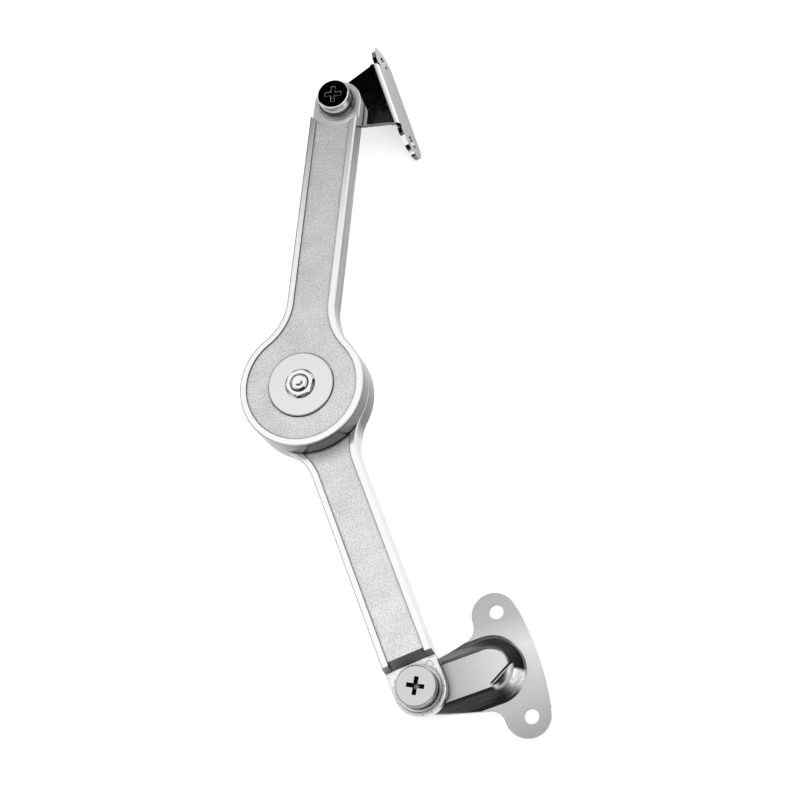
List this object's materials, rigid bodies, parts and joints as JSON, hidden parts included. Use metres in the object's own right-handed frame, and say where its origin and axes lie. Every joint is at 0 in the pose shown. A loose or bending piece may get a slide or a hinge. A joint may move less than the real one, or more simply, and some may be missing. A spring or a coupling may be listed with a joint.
{
  "type": "lid stay",
  "caption": "Folding lid stay: cast arms joined by a braked elbow disc, with a drawn cabinet bracket at one end and a folded lid bracket at the other.",
  "frame": {"origin": "midway between the two mounting holes of the cabinet bracket, on the face that lies on the cabinet", "axes": "+Z along the three parallel pivots, away from the cabinet side; +Y along the hole lines of both bracket plates, towards the lid end; +X away from the arms, out through the lid bracket's plate"},
  "size_m": [0.0786, 0.2369, 0.026],
  "materials": {
    "cast_zinc": "nickel-plated zinc casting, sand-textured fields inside polished rims",
    "bracket_chrome": "bright chrome-plated steel sheet",
    "screw_nickel": "nickel-plated, polished",
    "steel": "zinc-plated steel",
    "spring_steel": "dark spring steel",
    "bronze": "sintered bronze",
    "nylon": "white nylon",
    "nylon_disc": "smooth satin plated washer",
    "lining": "pressed fibre friction lining"
  },
  "bodies": {
    "cabinet_mount": {"cabinet_bracket": "bracket_chrome", "cabinet_pivot_nut": "steel", "cabinet_thrust_washer": "nylon", "cabinet_head_washer": "steel", "cabinet_split_washer": "spring_steel", "cabinet_pivot_screw": "screw_nickel"},
    "lower_link": {"lower_arm": "cast_zinc", "cabinet_pivot_bush": "bronze", "lower_lining": "lining", "friction_plate": "steel", "elbow_bush": "bronze", "seat_washer": "steel", "inner_disc_spring": "spring_steel", "outer_disc_spring": "spring_steel", "rear_washer": "steel", "centre_bolt": "steel", "pressure_washer": "nylon_disc", "centre_nut": "screw_nickel"},
    "upper_link": {"upper_arm": "cast_zinc", "upper_lining": "lining", "lid_pivot_bush": "bronze"},
    "lid_mount": {"lid_bracket": "bracket_chrome", "lid_pivot_nut": "steel", "lid_thrust_washer": "nylon", "lid_head_washer": "steel", "lid_split_washer": "spring_steel", "lid_pivot_screw": "screw_nickel"}
  },
  "joints": [
    {"name": "cabinet_pivot", "type": "hinge", "parent": "cabinet_mount", "child": "lower_link", "pos_m": [-0.0276, 0, 0.01025], "axis": [0, 0, 1], "range_deg": [-80, 80]},
    {"name": "elbow", "type": "hinge", "parent": "lower_link", "child": "upper_link", "pos_m": [-0.03283, 0.09986, 0.01575], "axis": [0, 0, 1], "range_deg": [-109, 26]},
    {"name": "lid_pivot", "type": "hinge", "parent": "upper_link", "child": "lid_mount", "pos_m": [0.00624, 0.19191, 0.0181], "axis": [0, 0, 1], "range_deg": [-80, 80]}
  ]
}
